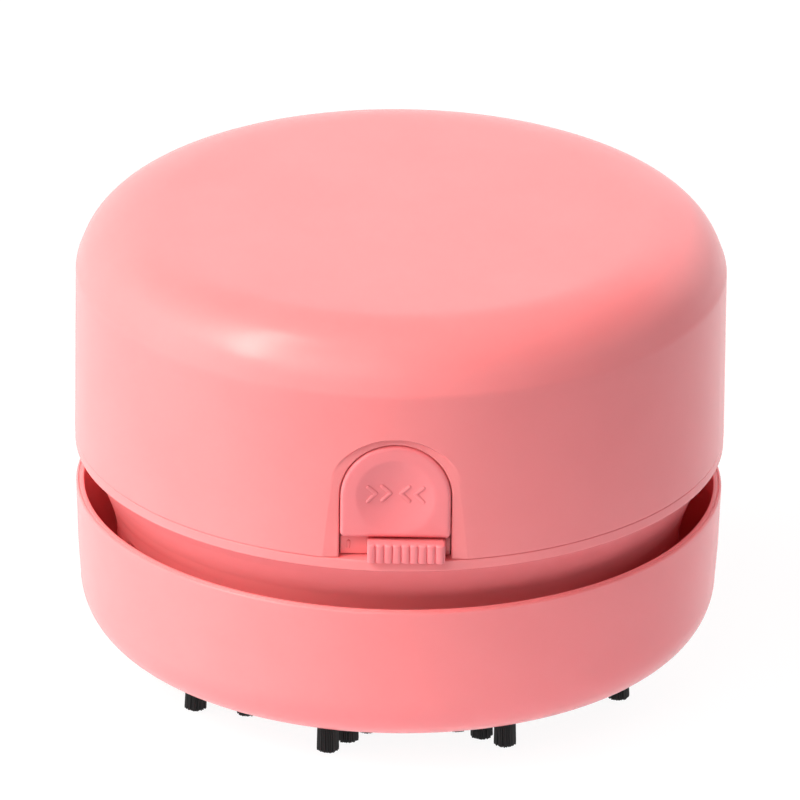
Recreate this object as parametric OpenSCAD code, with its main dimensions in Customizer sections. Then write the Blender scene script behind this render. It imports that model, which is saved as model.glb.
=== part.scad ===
// Desktop mini vacuum cleaner: a round battery unit that plugs into a brush bowl.
// The origin is on the axis, at the tips of the bristles. +Z is up, and the button is at -Y.

/* [Brush bowl] */
// Length of the bristles below the floor of the bowl
bristle_l = 5; // [4.5:0.1:6]
// Height of the bowl from its underside to its rim
bowl_h = 20.4; // [19.5:0.1:22]
// How much narrower the rim is than the top cover
rim_inset = 0.2; // [0:0.05:0.6]
// How much narrower the bowl is where its bottom curve starts
bowl_draft = 0.65; // [0.3:0.05:1]
// Radius of the outer bottom curve
bowl_fillet = 7.5; // [6.8:0.1:8.2]
// Wall of the bowl
bowl_wall = 1.1; // [1:0.05:1.4]
// Floor thickness of the bowl at its step for the dust cup
bowl_floor = 1.2; // [1:0.1:1.6]
// Radius that rounds the rim
rim_round = 0.4; // [0.2:0.05:0.5]

/* [Dust cup] */
// Gap between the cup and the neck that stands in it
cup_gap = 0.5; // [0.3:0.05:0.8]
// Wall of the cup
cup_wall = 1.3; // [1.1:0.05:1.5]
// Height of the cup from the underside of the bowl
cup_h = 10.5; // [10:0.1:11]
// Thickness of the brush floor
cup_floor = 2; // [1.6:0.1:2.2]
// Width of the step that the cup stands on
cup_step = 1; // [0.7:0.05:1.1]
// Radius of the suction inlet
inlet_r = 8.5; // [7:0.1:9.5]
// Height of the inlet chimney from the underside of the bowl
inlet_h = 4.9; // [4:0.1:5.3]
// Wall of the inlet chimney
inlet_wall = 1.3; // [1:0.1:1.6]

/* [Bristles] */
// Radius of a tuft's backing disc
tuft_r = 1.45; // [1.4:0.01:1.6]
// Thickness of a tuft's backing disc
tuft_seat = 0.9; // [0.7:0.05:1]
// Width of one strand
strand_w = 0.45; // [0.4:0.01:0.46]
// Turn of the brush pattern from the button
brush_turn = 5.7; // [0:0.1:12]
// Sideways place of the innermost tuft of a V row
row_side = 6; // [5.5:0.1:7]
// How far inside the cup the innermost tuft of a V row lies
row_inset = 10.7; // [10:0.1:12]
// Distance between the tufts of a row
row_pitch = 3.9; // [3.5:0.05:4]
// Slope of a V row
row_slope = 43; // [38:1:46]
// How far inside the cup the outer tuft of a cluster lies
cluster_inset = 3.1; // [3:0.1:3.8]
// Radial distance from there to the two inner tufts of the cluster
cluster_pitch = 4.3; // [3.8:0.1:5]
// Half angle between the two inner tufts of a cluster
cluster_spread = 10.3; // [8:0.1:12]

/* [Housing] */
// Height of the open slit between the rim and the base ring
slit_h = 5.8; // [5:0.1:6.5]
// How much narrower the base ring is than the top cover
band_inset = 0.05; // [0:0.05:0.4]
// Height of the base ring
band_h = 1.6; // [1.5:0.1:2.4]
// Step from the base ring in to the top of the neck
flare_step = 1.05; // [0.7:0.05:1.5]
// How far the neck lies inside the base ring
neck_inset = 5.65; // [5.2:0.05:5.8]
// Wall of the neck
neck_wall = 1.4; // [1.2:0.05:1.5]
// Gap between the foot of the neck and the step of the bowl
neck_gap = 3.8; // [2.5:0.1:5]
// How far below the base ring the flare runs out into the neck
flare_drop = 12; // [10:0.1:13]
// How sharply the flare curves
flare_power = 1.5; // [1.2:0.05:2]
// Thickness of the deck that carries the motor
deck_t = 2.3; // [2:0.05:2.6]
// Number of exhaust slots round the neck, with two left out for the latch
slot_n = 14; // [12:2:22]
// Width of an exhaust slot
slot_w = 7.2; // [4:0.1:7.4]
// Height of an exhaust slot
slot_h = 2.8; // [2.2:0.1:4.2]
// Height of the ring that the top cover slips over
spigot_h = 4.6; // [3:0.1:6]
// Wall of that ring
spigot_wall = 1.4; // [1.1:0.05:1.6]

/* [Top cover] */
// Outer radius of the top cover
shell_r = 43; // [42.9:0.05:43.5]
// Wall of the top cover
shell_wall = 2; // [1.8:0.05:2.1]
// Height of the top cover from its edge to the middle of its crown
cover_h = 31.15; // [30.8:0.05:34]
// How far the top bulges
crown = 0.8; // [0.4:0.1:1]
// Width of the rounded shoulder
shoulder_w = 13; // [11:0.1:15]
// Height of the rounded shoulder
shoulder_h = 10.2; // [9:0.1:11]
// Squareness of the shoulder, where 2 is an ellipse
shoulder_n = 2.7; // [2.2:0.05:3]
// Depth of the flat round the button below the round shell
flat_depth = 0.92; // [0.7:0.02:1]
// Tilt of that flat
flat_tilt = 1.3; // [0:0.1:2]
// Width of the flat above the button
flat_edge = 0.7; // [0.4:0.05:1]

/* [Button] */
// Width of the button
button_w = 14.4; // [13:0.1:14.8]
// Height of the button
button_h = 13; // [11:0.05:13.5]
// How far the button's face lies behind the round shell
button_inset = 0.55; // [0.4:0.05:0.8]
// Radius that rounds the button's edge
button_edge = 0.7; // [0.4:0.05:0.9]
// Corner radius at the foot of the button
button_corner = 0.65; // [0.5:0.05:1]
// Diameter of the finger dish
dish_d = 10.5; // [9:0.1:11.5]
// Depth of the finger dish
dish_depth = 0.9; // [0.6:0.05:1.1]
// Travel of the button
press = 2; // [1.6:0.05:2]
// Radius of the spring
spring_r = 3.2; // [2.8:0.05:3.4]
// Wire diameter of the springs
wire_d = 0.5; // [0.4:0.02:0.6]

/* [Slide switch] */
// Width of the slider knob
knob_w = 10.3; // [9:0.1:10.8]
// Height of the slider knob
knob_h = 2.6; // [2.2:0.05:2.7]
// How far the knob's ribs stand out of the round shell
knob_out = 1.1; // [0.8:0.05:1.3]
// Number of ribs on the knob
rib_n = 9; // [7:1:10]
// Diameter of a rib
rib_d = 0.95; // [0.8:0.01:1]
// Travel of the slider
slide = 3.1; // [2.6:0.05:3.2]
// Length, depth and height of the switch body
switch_size = [8.6, 3.4, 2.8];
// Width and height of the switch lever
lever_size = [1.8, 1];

/* [Suction] */
// Gap between the impeller and the wall that keeps the latch apart
impeller_gap = 1.7; // [1.3:0.1:3.5]
// Gap under the blades of the impeller
fan_gap = 2.1; // [1.5:0.1:3]
// Number of blades
blade_n = 11; // [7:1:13]
// Thickness of a blade
blade_t = 1; // [0.8:0.05:1.2]
// Radius that a blade curves to
blade_curve = 17; // [15.5:0.5:24]
// Thickness of the impeller's back plate
back_t = 1.2; // [1:0.05:1.4]
// Radius of the hub
hub_r = 4; // [3:0.1:4.5]
// Radius of the motor
motor_r = 11.9; // [11:0.05:12]
// Gap between the motor's terminals and the top cover
motor_gap = 1.45; // [0.8:0.05:2.4]
// Distance across the motor's flats
motor_flats = 20.4; // [18:0.1:21]
// Radius of the motor shaft
shaft_r = 1; // [0.9:0.05:1.1]
// Thickness of the fan cover
fan_cover_t = 1.4; // [1.2:0.05:1.6]
// Thickness of the seal
seal_t = 1.2; // [1:0.05:1.4]
// Radius of the fan's air inlet
fan_inlet_r = 10; // [8:0.1:11]
// Gap between the filter frame and the latch behind it when pressed
filter_gap = 0.9; // [0.7:0.1:2]
// Height of the filter frame
filter_h = 5.2; // [4.9:0.05:5.3]
// Thickness of the filter pad
pad_t = 3; // [2:0.1:3.5]
// Turn that frees the filter frame
filter_turn = 20; // [17:1:24]

/* [Batteries] */
// Room between each cell's flank and the ring that the cover slips over
cell_room = 10.5; // [10.4:0.05:11]
// Room at the two ends of a cell's body, for its nub, contact and spring
cell_ends = 4.45; // [4.3:0.05:5.4]
// Gap between each cell and the ring that holds the motor
cell_gap = 1.05; // [0.6:0.05:1.25]
// Floor of the battery trays
tray_t = 1.4; // [1.2:0.05:1.6]

/* [Fits] */
// Gap between parts that slide past each other
slip = 0.3; // [0.25:0.01:0.35]
// Gap at the seam under the top cover
seam = 0.2; // [0.15:0.01:0.3]
// Radial gap of the motor shaft in its bearing
running = 0.05; // [0.03:0.01:0.08]

/* [Hidden] */
$fn = 96;

pink = [0.96, 0.66, 0.65];
deep_pink = [0.86, 0.5, 0.5];
steel = [0.75, 0.76, 0.78];
white = [0.93, 0.93, 0.91];
dark = [0.1, 0.1, 0.11];
brass = [0.8, 0.65, 0.35];

far = 60;               // longer than any cut needs
eps = 0.01;

// Heights, from the desk up
floor_z = bristle_l;
step_z = floor_z + bowl_floor;
neck_low = step_z + neck_gap;
cup_top = floor_z + cup_h;
seal_z = cup_top + slip;
fan_z = seal_z + seal_t;
chamber_z = fan_z + fan_cover_t;
rim_z = floor_z + bowl_h;
band_z = rim_z + slit_h;
deck_z = band_z + band_h;
deck_low = deck_z - deck_t;
cover_z = deck_z + seam;

// Radii, from the top cover in
rim_r = shell_r - rim_inset;
band_r = shell_r - band_inset;
flare_r = band_r - flare_step;
neck_r = band_r - neck_inset;
neck_in = neck_r - neck_wall;
cup_r = neck_in - cup_gap;
spigot_r = shell_r - shell_wall - slip - 0.05;
spigot_in = spigot_r - spigot_wall;

// Bowl and brush
fillet_r = rim_r - bowl_draft - bowl_fillet;
inner_fillet = bowl_fillet - bowl_floor - 0.8;
bowl_in = rim_r - bowl_wall;
row_depth = cup_r - row_inset;
cluster_far = cup_r - cluster_inset;
cluster_near = cluster_far - cluster_pitch;
tuft_rings = [[1, 0], [5, 0.43 * tuft_r], [9, 0.78 * tuft_r]];

// Button, slider and the shell's opening
knob_z = cover_z;
button_z = knob_z + knob_h + slip + 0.05;
button_r = button_w / 2;
button_arch = button_z + button_h - button_r;
opening_r = button_r + slip - 0.05;
button_face = shell_r - button_inset;
plate_gap = 1.8;
plate_wall = 2;
plate_front = shell_r - shell_wall - plate_gap;
plate_back = plate_front - plate_wall;
plate_r = opening_r + 2.85;
panel_y = plate_front + 1.7;
flange_front = plate_back - slip;
flange_t = 1;
flange_r = opening_r + 1.05;
pocket_r = spring_r + 1.3;
pocket_y = button_face - dish_depth - 2.15;
flat_y = shell_r - flat_depth;
flat_half = sqrt(pow(shell_r, 2) - pow(flat_y, 2));
flat_top = button_arch + opening_r + flat_edge;
knob_x = slide / 2;
lever_z = knob_z + knob_h / 2;

// Latch and the walls round it
latch_half = 4;
latch_t = 1.6;
latch_y = plate_back - 0.9 - switch_size[1];
latch_tip = cup_r - 0.5;
hook_z = floor_z + 6;
hook_h = 2.6;
duct_half = latch_half + slip + 0.1;
duct_front = latch_y + slip + 0.1;
duct_back = latch_y - latch_t - press - slip - 0.1;
duct_wall = 1.2;
spring_seat = duct_back - 0.3;
seat_w = 12;
seat_t = 1.4;
gusset = [1.2, 7.3, 10];
ring_gap = [2 * plate_r + 4.4, 4];
slot_back = 1.2;

// Impeller, motor and filter
impeller_r = duct_back - duct_wall - impeller_gap;
impeller_top = deck_low - 2;
impeller_z = chamber_z + fan_gap;
impeller_h = impeller_top - impeller_z;
terminal = [0.5, 2.8, 3.4];
terminal_x = 8;
terminal_out = 1.4;
motor_l = cover_h + seam - shell_wall - terminal_out - motor_gap;
cap_t = 2.6;
boss_r = 3;
boss_h = 1.5;
shaft_in = 9;
motor_screw_x = 8;
holder_r = motor_r + 1.3;
holder_h = 5;
filter_r = duct_back - filter_gap;
filter_z = fan_z - slip - filter_h;
grid_t = 1;
frame_wall = 1.6;
lug_r = filter_r + 1.3;
lug_t = 1;
ledge_t = 0.8;
bosses = [90, 210, 330];
boss_place = neck_in - 4.1;

// Screws
head_r = 1.75;
head_h = 1.2;
shank_r = 0.85;

// Batteries
cell_r = (spigot_in - holder_r - cell_gap - cell_room) / 2;
cell_x = holder_r + cell_gap + cell_r;
cell_l = 2 * sqrt(pow(spigot_in, 2) - pow(cell_x + cell_r, 2)) - cell_ends;
cell_z = deck_z + tray_t + 0.2 + cell_r;
nub_r = 2.75;
nub_h = 1.2;
plate_t = 0.5;
plate_y = cell_l / 2 + 2.5;
plate_w = 2 * cell_r - 4.5;
plate_h = 2 * cell_r - 5.5;
cell_shift = plate_y - slip - nub_h - cell_l / 2;
tray_wall = 1.2;
tray_r = spigot_in - 0.25;
tray_in = cell_x - cell_r - 0.45;
tray_screw = [tray_in + 1.8, cell_l / 2 - 2.5];
feet_x = plate_r + 0.3;
feet_y = plate_back - 2.7;
foot = [3.4, 4.8, 2];

function arc(cx, cy, r, a0, a1, n) =
    [for (i = [0:n]) let (a = a0 + (a1 - a0) * i / n) [cx + r * cos(a), cy + r * sin(a)]];

// Outer radius of the flare at height z: a power curve that runs out into the neck
function flare(z) =
    let (t = max(0, (z - band_z + flare_drop) / flare_drop))
    neck_r + (flare_r - neck_r) * pow(t, flare_power);

// Half of the dome's profile, from the middle out: a superellipse on a slight bulge
function dome(wall, n) =
    let (rc = shell_r - shoulder_w, zc = cover_z + cover_h - crown - shoulder_h,
         bulge = function(r) crown * (1 - pow(r / shell_r, 2)))
    concat(
        [for (i = [0:5]) let (r = rc * i / 6) [r, zc + shoulder_h - wall + bulge(r)]],
        [for (i = [0:n])
            let (a = 90 * i / n, r = rc + (shoulder_w - wall) * pow(sin(a), 2 / shoulder_n))
            [r, zc + (shoulder_h - wall) * pow(cos(a), 2 / shoulder_n) + bulge(r)]]);

// An upright outline with a round top, drawn in X and Z and pushed towards the front
module arch(half_w, z_low, z_centre, y_back, y_front, foot_half = 0) {
    foot = max(foot_half, half_w);
    translate([0, -y_back, 0]) rotate([90, 0, 0]) linear_extrude(y_front - y_back) {
        intersection() {
            translate([0, z_centre]) circle(half_w);
            translate([-half_w, z_centre]) square([2 * half_w, half_w]);
        }
        translate([-foot, z_low]) square([2 * foot, z_centre - z_low]);
    }
}

// A spring wound round the +Z axis from z = 0, as one unbroken tube
module coil(r0, r1, wire, length, turns) {
    sides = 6;
    rings = turns * 8;
    lead = length - wire;
    points = [
        for (i = [0:rings])
            let (t = i / rings, a = 360 * turns * t, r = r0 + (r1 - r0) * t)
            for (k = [0:sides - 1])
                let (b = 360 * k / sides, q = r + wire / 2 * cos(b))
                [q * cos(a), q * sin(a), wire / 2 + lead * t + wire / 2 * sin(b)]
    ];
    walls = [
        for (i = [0:rings - 1]) for (k = [0:sides - 1])
            let (a = i * sides + k, b = i * sides + (k + 1) % sides)
            each [[a, b, a + sides], [b, b + sides, a + sides]]
    ];
    ends = [
        for (k = [1:sides - 2])
            each [[0, k + 1, k], [rings * sides, rings * sides + k, rings * sides + k + 1]]
    ];
    polyhedron(points, concat(walls, ends));
}

// A screw whose head stands on z = 0 and whose shank points down
module screw(length) {
    cylinder(h = head_h, r = head_r);
    translate([0, 0, -length]) cylinder(h = length + eps, r = shank_r);
}

// ---- Brush bowl ----

module outer_bowl() {
    inner_r = cup_r;
    inner_z = step_z + inner_fillet;
    side = arc(fillet_r, floor_z + bowl_fillet, bowl_fillet, -90, 0, 16);
    rim = concat(
        arc(rim_r - rim_round, rim_z - rim_round, rim_round, 0, 90, 6),
        arc(bowl_in + rim_round, rim_z - rim_round, rim_round, 90, 180, 6));
    inside = arc(inner_r, inner_z, inner_fillet, 0, -90, 12);
    color(pink) rotate_extrude()
        polygon(concat(side, rim, inside,
                       [[cup_r - cup_step, step_z], [cup_r - cup_step, floor_z]]));
}

module tuft_places() {
    for (k = [0:2]) rotate(brush_turn + 120 * k) {
        for (s = [-1, 1], i = [0:2])
            translate([s * (row_side + i * row_pitch * cos(row_slope)),
                       -row_depth - i * row_pitch * sin(row_slope)]) children();
        rotate(60) {
            translate([0, -cluster_far]) children();
            for (s = [-1, 1]) rotate(s * cluster_spread) translate([0, -cluster_near]) children();
        }
    }
}

module dust_cup() {
    cup_in = cup_r - cup_wall;
    plug_r = cup_r - cup_step - 0.1;
    chimney_r = inlet_r + inlet_wall;
    color(pink) difference() {
        rotate_extrude() polygon([
            [inlet_r, floor_z], [plug_r, floor_z], [plug_r, step_z], [cup_r, step_z],
            [cup_r, cup_top], [cup_in, cup_top], [cup_in, floor_z + cup_floor],
            [chimney_r, floor_z + cup_floor], [chimney_r, floor_z + inlet_h],
            [inlet_r, floor_z + inlet_h]]);
        translate([0, 0, floor_z - 1]) tuft_places() cylinder(h = tuft_seat + 1.1, r = tuft_r + 0.05);
        translate([-duct_half, -cup_r - 1, hook_z - slip])
            cube([2 * duct_half, cup_wall + 3, hook_h + 2 * slip]);
    }
}

module bristle_tufts() {
    color(dark) tuft_places() {
        translate([0, 0, floor_z]) cylinder(h = tuft_seat, r = tuft_r);
        linear_extrude(floor_z + 0.1)
            for (ring = tuft_rings, i = [0:ring[0] - 1])
                rotate(360 * i / ring[0]) translate([ring[1], 0]) square(strand_w, center = true);
    }
}

// ---- Chassis ----

module main_housing() {
    n = 12;
    low = 0.35;
    top = 0.15;
    band = concat(arc(band_r - low, band_z + low, low, -90, 0, 5),
                  arc(band_r - top, deck_z - top, top, 0, 90, 4));
    outer = [for (i = [0:n]) let (z = neck_low + (band_z - neck_low) * i / n) [flare(z), z]];
    inner = [for (i = [n:-1:0])
        let (z = neck_low + (deck_low - neck_low) * i / n) [flare(z) - neck_wall, z]];
    color(pink) difference() {
        union() {
            rotate_extrude() polygon(concat(
                outer, band,
                [[spigot_r, deck_z], [spigot_r, deck_z + spigot_h],
                 [spigot_in, deck_z + spigot_h], [spigot_in, deck_z], [0, deck_z], [0, deck_low]],
                inner));
            // Bosses for the fan cover
            for (a = bosses) rotate(a) translate([boss_place, 0, chamber_z])
                cylinder(h = deck_low - chamber_z + eps, r = 2.5);
            // Walls that keep the latch out of the fan chamber
            difference() {
                translate([-duct_half - duct_wall, -neck_in - 0.5, chamber_z])
                    cube([2 * (duct_half + duct_wall), neck_in + 0.5 - duct_back + duct_wall,
                          deck_low - chamber_z + eps]);
                translate([-duct_half, -far, chamber_z - 1])
                    cube([2 * duct_half, far - duct_back, deck_low - chamber_z + 2]);
            }
            // Ring that holds the motor
            translate([0, 0, deck_z - eps]) difference() {
                cylinder(h = holder_h, r = holder_r);
                translate([0, 0, -1]) cylinder(h = holder_h + 2, r = motor_r + 0.1);
            }
            // Wall with ribs and a stub for the button's spring
            translate([-seat_w / 2, -spring_seat, deck_z - eps])
                cube([seat_w, seat_t, button_arch + spring_r + 1.3 - deck_z]);
            for (x = [-seat_w / 2, seat_w / 2 - gusset[0]])
                translate([x, -spring_seat + seat_t / 2, deck_z]) rotate([90, 0, 90])
                    linear_extrude(gusset[0]) polygon([[0, -eps], [gusset[1], -eps], [0, gusset[2]]]);
            translate([0, -spring_seat, button_arch]) rotate([90, 0, 0])
                cylinder(h = 0.4 * (flange_front - flange_t - spring_seat), r = spring_r / 2);
        }
        // Exhaust slots, apart from the two beside the latch
        for (i = [1:slot_n - 2]) rotate(270 + 360 * (i + 0.5) / slot_n)
            translate([neck_in - slot_back, -slot_w / 2, chamber_z + 0.4])
                cube([slot_back + 5, slot_w, slot_h]);
        // Shaft boss, motor screws and latch
        translate([0, 0, deck_low - 1]) {
            cylinder(h = deck_t + 2, r = boss_r + 0.2);
            for (s = [-1, 1]) translate([s * motor_screw_x, 0, 0]) cylinder(h = deck_t + 2, r = 1);
            translate([-duct_half, -duct_front, 0])
                cube([2 * duct_half, duct_front - duct_back, deck_t + 2]);
        }
        // Gap in the ring for the control frame
        translate([-ring_gap[0] / 2, -far, deck_z]) cube([ring_gap[0], far - spigot_in + ring_gap[1], far]);
        // Pilot holes
        for (a = bosses) rotate(a) translate([boss_place, 0, chamber_z - 1]) cylinder(h = 8, r = shank_r);
        for (s = [-1, 1]) {
            translate([s * feet_x, -feet_y, deck_z - 1.8]) cylinder(h = 3, r = shank_r);
            for (t = [-1, 1]) translate([s * tray_screw[0], t * tray_screw[1], deck_z - 1.8])
                cylinder(h = 3, r = shank_r);
        }
    }
}

module control_frame() {
    slot = [lever_size[0] + slide + 2 * slip, lever_size[1] + 2 * slip];
    top_r = plate_r;
    color(pink) difference() {
        union() {
            arch(top_r, deck_z, button_arch, plate_back, plate_front);
            translate([-opening_r + slip, -panel_y, cover_z])
                cube([2 * (opening_r - slip), panel_y - plate_front + eps,
                      button_z - cover_z - slip - 0.15]);
            for (s = [-1, 1]) translate([s * feet_x - foot[0] / 2, -plate_back - eps, deck_z])
                cube(foot);
        }
        arch(opening_r, button_z - slip, button_arch, plate_back - 1, plate_front + 3);
        translate([-slot[0] / 2, -panel_y - 1, lever_z - slot[1] / 2])
            cube([slot[0], panel_y - plate_back + 2, slot[1]]);
        for (s = [-1, 1]) translate([s * feet_x, -feet_y, deck_z - 1]) cylinder(h = 4, r = 1);
    }
}

module fan_cover() {
    hook_in = lug_r + slip;
    hook_low = filter_z + filter_h - slip - 1.7 - ledge_t;
    color(pink) difference() {
        union() {
            translate([0, 0, fan_z]) cylinder(h = fan_cover_t, r = neck_in - slip - 0.1);
            // Three bayonet hooks for the filter frame
            for (a = bosses) rotate(a) rotate_extrude(angle = 22, start = -11) polygon([
                [filter_r + 0.2, hook_low], [hook_in + 1.2, hook_low], [hook_in + 1.2, fan_z + eps],
                [hook_in, fan_z + eps], [hook_in, hook_low + ledge_t],
                [filter_r + 0.2, hook_low + ledge_t]]);
        }
        translate([0, 0, fan_z - 1]) cylinder(h = 4, r = fan_inlet_r);
        for (a = bosses) rotate(a) translate([boss_place, 0, fan_z - 6]) cylinder(h = 9, r = 1);
        for (a = bosses) rotate(a) translate([boss_place, 0, fan_z - 6]) cylinder(h = 6, r = head_r + 0.2);
        translate([-duct_half, -duct_front, fan_z - 1]) cube([2 * duct_half, duct_front - duct_back, 4]);
    }
}

module seal_ring() {
    color(dark) translate([0, 0, seal_z]) difference() {
        cylinder(h = seal_t, r = neck_in - slip - 0.1);
        translate([0, 0, -1]) cylinder(h = seal_t + 2, r = cup_r - cup_wall);
    }
}

module battery_trays() {
    end_y = plate_y + plate_t;
    outer_x = cell_x + cell_r + 0.3;
    color(dark) for (s = [-1, 1]) difference() {
        intersection() {
            union() {
                translate([s > 0 ? tray_in : -outer_x - tray_wall, -end_y - tray_wall, deck_z])
                    cube([outer_x + tray_wall - tray_in, 2 * (end_y + tray_wall), tray_t]);
                translate([s > 0 ? outer_x : -outer_x - tray_wall, -end_y - tray_wall, deck_z])
                    cube([tray_wall, 2 * (end_y + tray_wall), cell_z - deck_z]);
                for (t = [-1, 1])
                    translate([s > 0 ? tray_in : -outer_x - tray_wall,
                               t > 0 ? end_y : -end_y - tray_wall, deck_z])
                        cube([outer_x + tray_wall - tray_in, tray_wall, cell_z + 5 - deck_z]);
            }
            cylinder(h = far * 2, r = tray_r);
        }
        for (t = [-1, 1]) translate([s * tray_screw[0], t * tray_screw[1], deck_z - 1])
            cylinder(h = 4, r = 1);
    }
}

// A cell lies along Y with its nub at the front when turn is 0
module cell(x, turn) {
    edge = 0.5;
    translate([x, 0, cell_z]) rotate(turn) translate([0, -cell_shift, 0]) rotate([90, 0, 0])
        rotate_extrude() polygon([
            [0, -cell_l / 2], [cell_r - edge, -cell_l / 2], [cell_r, -cell_l / 2 + edge],
            [cell_r, cell_l / 2 - edge], [cell_r - edge, cell_l / 2], [nub_r, cell_l / 2],
            [nub_r, cell_l / 2 + nub_h], [0, cell_l / 2 + nub_h]]);
}

module battery_left() { color("dimgray") cell(-cell_x, 0); }

module battery_right() { color("dimgray") cell(cell_x, 180); }

module contact_springs() {
    gap = plate_y - cell_l / 2 + cell_shift;
    color(steel) for (s = [-1, 1]) translate([s * cell_x, -s * plate_y, cell_z])
        rotate([s * -90, 0, 0]) coil(cell_r / 2, 0.3 * cell_r, wire_d, gap, 3);
}

module contact_plates() {
    low = cell_z - plate_h / 2;
    color(steel) {
        for (s = [-1, 1]) translate([s * cell_x - plate_w / 2, -plate_y - plate_t, low])
            cube([plate_w, plate_t, plate_h]);
        translate([-cell_x - plate_w / 2, plate_y, low]) cube([2 * cell_x + plate_w, plate_t, plate_h]);
    }
}

module slide_switch() {
    color(steel) difference() {
        translate([-switch_size[0] / 2, -plate_back + 0.1, deck_z]) cube(switch_size);
        translate([-(lever_size[0] + slide) / 2 - slip, -plate_back - 1, lever_z - lever_size[1] / 2 - slip])
            cube([lever_size[0] + slide + 2 * slip, 2.8, lever_size[1] + 2 * slip]);
    }
}

module motor_can() {
    can_l = motor_l - cap_t;
    round = 1.2;
    color(steel) difference() {
        union() {
            translate([0, 0, deck_z]) intersection() {
                rotate_extrude() polygon(concat(
                    [[0, 0]], arc(motor_r - round, round, round, -90, 0, 6),
                    [[motor_r, can_l], [0, can_l]]));
                translate([-far, -motor_flats / 2, -1]) cube([2 * far, motor_flats, far]);
            }
            translate([0, 0, deck_z - boss_h]) cylinder(h = boss_h + eps, r = boss_r);
        }
        translate([0, 0, deck_z - boss_h - 1]) cylinder(h = boss_h + shaft_in + 1.5, r = shaft_r + running);
        for (s = [-1, 1]) translate([s * motor_screw_x, 0, deck_z - 1]) cylinder(h = 4, r = shank_r);
    }
}

module motor_end_cap() {
    z = deck_z + motor_l - cap_t;
    color(white) difference() {
        union() {
            intersection() {
                translate([0, 0, z]) cylinder(h = cap_t, r = motor_r - 0.5);
                translate([-far, -motor_flats / 2 + 0.5, z - 1]) cube([2 * far, motor_flats - 1, far]);
            }
            translate([0, 0, z + cap_t - eps]) cylinder(h = 0.9, r = 3.2);
        }
        for (s = [-1, 1]) translate([s * terminal_x, 0, z + cap_t + terminal_out - terminal[2] / 2])
            cube(terminal, center = true);
    }
}

module motor_terminals() {
    z = deck_z + motor_l + terminal_out;
    color(brass) for (s = [-1, 1]) translate([s * terminal_x, 0, z]) difference() {
        translate([0, 0, -terminal[2] / 2]) cube(terminal, center = true);
        translate([-1, 0, -0.9]) rotate([0, 90, 0]) cylinder(h = 2, r = 0.4);
    }
}

module motor_screws() {
    color(steel) for (s = [-1, 1]) translate([s * motor_screw_x, 0, deck_low]) mirror([0, 0, 1])
        screw(deck_t + 2.8);
}

module pan_screws() {
    color(steel) {
        for (a = bosses) rotate(a) translate([boss_place, 0, fan_z]) mirror([0, 0, 1])
            screw(fan_cover_t + 5);
        for (s = [-1, 1]) {
            translate([s * feet_x, -feet_y, deck_z + foot[2]]) screw(foot[2] + 1.6);
            for (t = [-1, 1]) translate([s * tray_screw[0], t * tray_screw[1], deck_z + tray_t])
                screw(tray_t + 1.6);
        }
    }
}

module button_spring() {
    color(steel) translate([0, -spring_seat, button_arch]) rotate([90, 0, 0])
        coil(spring_r - wire_d / 2, spring_r - wire_d / 2, wire_d, pocket_y - spring_seat, 6);
}

// ---- Top cover ----

module top_cover() {
    color(pink) difference() {
        rotate_extrude() polygon(concat(
            dome(0, 18), [[shell_r, cover_z], [shell_r - shell_wall, cover_z]],
            [for (p = [18 + 6:-1:0]) dome(shell_wall, 18)[p]]));
        // Opening for the button and the slider
        arch(opening_r, cover_z - 1, button_arch, shell_r - 8, shell_r + 5);
        // Flat round the opening
        translate([0, -flat_y, button_arch]) rotate([-flat_tilt, 0, 0]) translate([0, flat_y, -button_arch])
            arch(flat_half, cover_z - 5, flat_top - flat_half, flat_y, flat_y + 6, flat_half + 2);
    }
}

// ---- Button and latch ----

module button_outline() {
    c = button_corner;
    translate([0, button_arch]) circle(button_r);
    polygon(concat(
        [[-button_r, button_arch]], arc(-button_r + c, button_z + c, c, 180, 270, 6),
        arc(button_r - c, button_z + c, c, 270, 360, 6), [[button_r, button_arch]]));
}

module push_button() {
    e = button_edge;
    depth = button_face - flange_front;
    ball = (pow(dish_d / 2, 2) + pow(dish_depth, 2)) / (2 * dish_depth);
    color(deep_pink) difference() {
        union() {
            intersection() {
                union() {
                    translate([0, -flange_front, button_arch]) rotate([90, 0, 0]) rotate_extrude()
                        polygon(concat([[0, -eps], [button_r, -eps]],
                                       arc(button_r - e, depth - e, e, 0, 90, 6), [[0, depth]]));
                    translate([0, 0, button_z]) linear_extrude(button_arch - button_z)
                        polygon(concat([[-button_r, -flange_front + eps], [button_r, -flange_front + eps]],
                                       [for (p = arc(button_r - e, depth - e, e, 0, 90, 6))
                                           [p[0], -flange_front - p[1]]],
                                       [for (p = arc(-button_r + e, depth - e, e, 90, 180, 6))
                                           [p[0], -flange_front - p[1]]]));
                }
                translate([0, -flange_front + 1, 0]) rotate([90, 0, 0]) linear_extrude(depth + 2)
                    button_outline();
                rotate([90, 0, 90]) translate([0, 0, -button_r - 1]) linear_extrude(button_w + 2)
                    polygon(concat(
                        [[-flange_front + 1, button_z]],
                        arc(-button_face + e, button_z + e, e, 270, 180, 6),
                        [[-button_face, button_z + button_h + 1],
                         [-flange_front + 1, button_z + button_h + 1]]));
            }
            arch(flange_r, button_z + 0.05, button_arch, flange_front - flange_t, flange_front);
        }
        translate([0, -button_face - ball + dish_depth, button_arch]) sphere(ball);
        translate([0, -flange_front + flange_t + 1, button_arch]) rotate([90, 0, 0])
            cylinder(h = pocket_y - flange_front + flange_t + 1, r = pocket_r);
    }
}

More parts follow.
